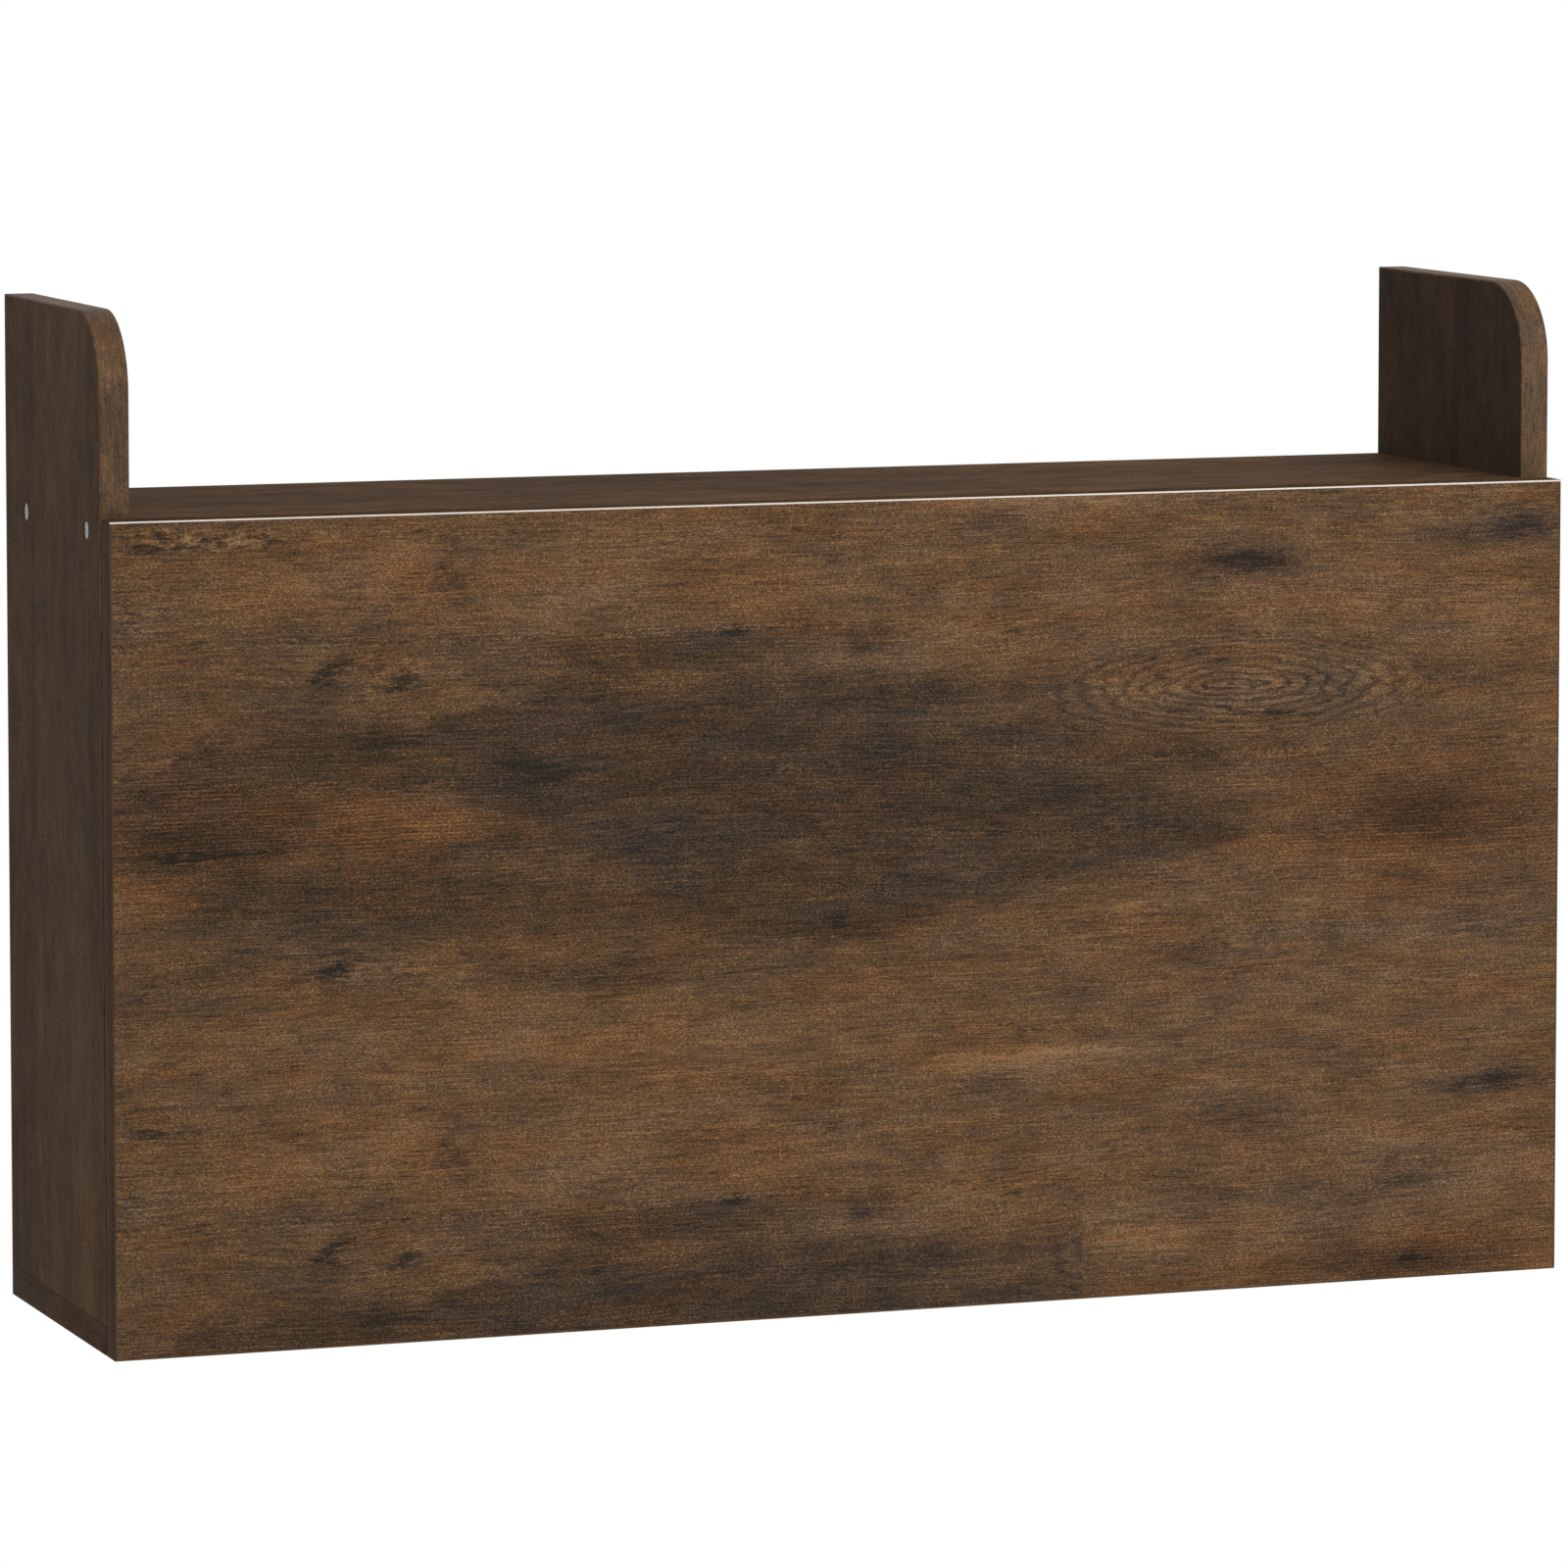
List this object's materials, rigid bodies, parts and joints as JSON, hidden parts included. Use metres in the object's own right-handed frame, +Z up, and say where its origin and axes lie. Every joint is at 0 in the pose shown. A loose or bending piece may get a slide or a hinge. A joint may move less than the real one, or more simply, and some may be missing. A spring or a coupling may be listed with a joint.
{
  "type": "fold-down wall desk",
  "caption": "Shallow wall cabinet with a drop-down front flap that opens into a worktop, an open top shelf between raised rounded sides, and pigeonholes behind the flap.",
  "frame": {"origin": "centre of the four wall-screw holes, on the wall plane at the back of the cabinet", "axes": "+X across the desk to the right as seen from the room, +Y into the wall, +Z up; the flap faces -Y"},
  "size_m": [0.78, 0.2, 0.5183],
  "materials": {
    "flap_board": "rustic brown printed laminate, horizontal grain",
    "side_board": "rustic brown printed laminate, vertical grain",
    "shelf_board": "rustic brown printed laminate, horizontal grain",
    "inner_board": "rustic brown printed laminate",
    "edge_band": "printed edge band",
    "flap_edge_band": "printed edge band with a pale cut core",
    "hardboard": "smooth hardboard",
    "zinc_screw": "bright zinc",
    "hinge_steel": "brushed steel",
    "stay_steel": "nickel-plated steel",
    "latch_plastic": "dark moulded plastic",
    "magnet": "nickel-plated magnet",
    "spring_steel": "spring wire",
    "bumper_plastic": "clear soft plastic",
    "beech": "fluted beech"
  },
  "bodies": {
    "carcass": {"bottom_panel": "shelf_board", "bottom_edge_band": "edge_band", "top_shelf": "shelf_board", "top_shelf_edge_band": "edge_band", "back_panel": "hardboard", "lower_rail": "inner_board", "upper_rail": "inner_board", "inner_shelf": "inner_board", "inner_shelf_edge_band": "edge_band", "divider_edge_bands": "edge_band", "bumpers": "bumper_plastic", "hinge_pins": "zinc_screw", "left_side": "side_board", "left_side_edge_band": "edge_band", "left_divider": "inner_board", "left_stay_stud": "stay_steel", "left_latch_housing": "latch_plastic", "right_side": "side_board", "right_side_edge_band": "edge_band", "right_divider": "inner_board", "right_stay_stud": "stay_steel", "right_latch_housing": "latch_plastic", "left_hinge_carcass_leaf": "hinge_steel", "centre_hinge_carcass_leaf": "hinge_steel", "right_hinge_carcass_leaf": "hinge_steel", "hinge_screws_carcass": "zinc_screw", "latch_screws": "zinc_screw", "shelf_screws": "zinc_screw", "base_screws": "zinc_screw", "carcass_dowels": "beech", "divider_dowels": "beech", "shelf_pegs": "zinc_screw", "back_nails": "zinc_screw"},
    "flap": {"flap_panel": "flap_board", "catch_plates": "stay_steel", "left_stay_bracket": "stay_steel", "left_stay_rivet": "stay_steel", "right_stay_bracket": "stay_steel", "right_stay_rivet": "stay_steel", "flap_top_edge_band": "flap_edge_band", "flap_bottom_edge_band": "flap_edge_band", "flap_left_edge_band": "flap_edge_band", "flap_right_edge_band": "flap_edge_band", "left_hinge_flap_leaf": "hinge_steel", "centre_hinge_flap_leaf": "hinge_steel", "right_hinge_flap_leaf": "hinge_steel", "hinge_screws_flap": "zinc_screw", "bracket_screws": "zinc_screw", "catch_screws": "zinc_screw"},
    "left_stay": {"left_stay_bar": "stay_steel"},
    "left_plunger": {"left_latch_plunger": "latch_plastic", "left_latch_magnet": "magnet", "left_latch_spring": "spring_steel"},
    "right_stay": {"right_stay_bar": "stay_steel"},
    "right_plunger": {"right_latch_plunger": "latch_plastic", "right_latch_magnet": "magnet", "right_latch_spring": "spring_steel"}
  },
  "joints": [
    {"name": "flap_hinge", "type": "hinge", "parent": "carcass", "child": "flap", "pos_m": [0, -0.184, -0.2079], "axis": [1, 0, 0], "range_deg": [0, 90]},
    {"name": "left_stay_pivot", "type": "hinge", "parent": "flap", "child": "left_stay", "pos_m": [-0.37, -0.175, -0.11534], "axis": [1, 0, 0], "range_deg": [-45, 0]},
    {"name": "right_stay_pivot", "type": "hinge", "parent": "flap", "child": "right_stay", "pos_m": [0.37, -0.175, -0.11534], "axis": [1, 0, 0], "range_deg": [-45, 0]},
    {"name": "left_push_latch", "type": "slide", "parent": "carcass", "child": "left_plunger", "axis": [0, 1, 0], "range_m": [0, 0.003], "stiffness_N_per_m": 600, "springref_m": -0.002},
    {"name": "right_push_latch", "type": "slide", "parent": "carcass", "child": "right_plunger", "axis": [0, 1, 0], "range_m": [0, 0.003], "stiffness_N_per_m": 600, "springref_m": -0.002}
  ],
  "couplings": [
    {"joint": "left_stay_pivot", "follows": "flap_hinge", "ratio": -0.5},
    {"joint": "right_stay_pivot", "follows": "flap_hinge", "ratio": -0.5}
  ]
}
